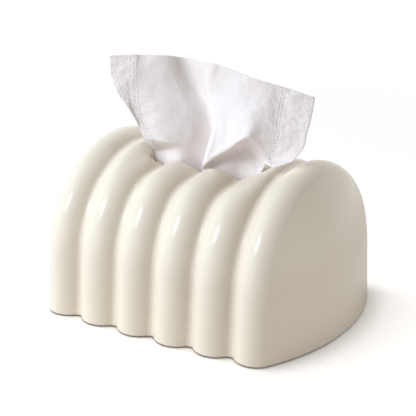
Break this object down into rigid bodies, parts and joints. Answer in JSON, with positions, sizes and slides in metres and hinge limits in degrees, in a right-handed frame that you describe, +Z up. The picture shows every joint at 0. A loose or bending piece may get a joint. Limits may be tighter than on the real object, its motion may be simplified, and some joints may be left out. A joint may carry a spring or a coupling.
{
  "type": "tissue box cover",
  "caption": "Glossy cream ribbed loaf-shaped tissue box cover with domed ends, a lift-off shell over a footed base plate, and a tissue standing out of the crown slot.",
  "frame": {"origin": "on the table under the middle of the cover, at the level of the feet's undersides", "axes": "+X along the row of ribs to the viewer's right, -Y towards the front, +Z up"},
  "size_m": [0.2452, 0.1886, 0.199],
  "materials": {
    "cream_gloss_plastic": "gloss",
    "cream_matte_plastic": "matte",
    "silicone_rubber": "matte",
    "tissue_paper": "matte"
  },
  "bodies": {
    "base": {"base_plate": "cream_matte_plastic", "foot_front_left": "silicone_rubber", "foot_front_right": "silicone_rubber", "foot_back_left": "silicone_rubber", "foot_back_right": "silicone_rubber", "tissue_stack": "tissue_paper", "next_tissue": "tissue_paper"},
    "cover": {"cover_shell": "cream_gloss_plastic"},
    "sheet": {"pulled_tissue": "tissue_paper"}
  },
  "joints": [
    {"name": "cover_lift", "type": "slide", "parent": "base", "child": "cover", "axis": [0, 0, 1], "range_m": [0, 0.1]},
    {"name": "sheet_pull", "type": "slide", "parent": "cover", "child": "sheet", "axis": [0, 0, 1], "range_m": [0, 0.1]}
  ]
}
